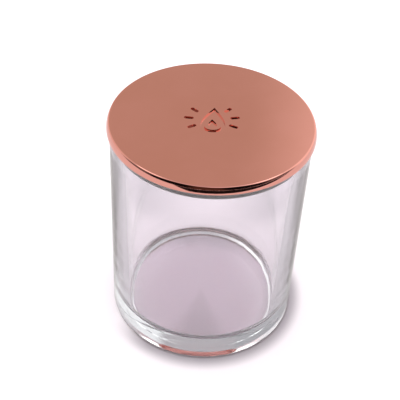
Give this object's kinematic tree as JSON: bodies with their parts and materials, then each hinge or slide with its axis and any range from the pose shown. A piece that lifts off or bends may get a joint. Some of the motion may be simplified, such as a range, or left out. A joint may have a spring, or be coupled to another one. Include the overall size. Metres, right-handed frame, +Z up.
{
  "type": "empty candle jar",
  "caption": "Heavy-based clear glass candle jar closed by a flat rose-gold die-cast lid, which lifts off and turns on its finned silicone seal.",
  "frame": {"origin": "centre of the circle that the glass stands on, at the bottom of the whole object", "axes": "+Z runs up the axis of the glass through the middle of the lid; +Y points to the top of the mark on the lid, within a few degrees"},
  "size_m": [0.082, 0.082, 0.0964],
  "materials": {
    "clear_glass": "polished",
    "rose_gold_plate": "polished",
    "grey_silicone": "satin"
  },
  "bodies": {
    "jar": {"glass_jar": "clear_glass"},
    "seal": {"seal_ring": "grey_silicone"},
    "lid": {"lid": "rose_gold_plate"}
  },
  "joints": [
    {"name": "lid_lift", "type": "slide", "parent": "jar", "child": "seal", "axis": [0, 0, 1], "range_m": [0, 0.05]},
    {"name": "lid_turn", "type": "hinge", "parent": "seal", "child": "lid", "pos_m": [0, 0, 0.0932], "axis": [0, 0, 1], "continuous": true}
  ]
}
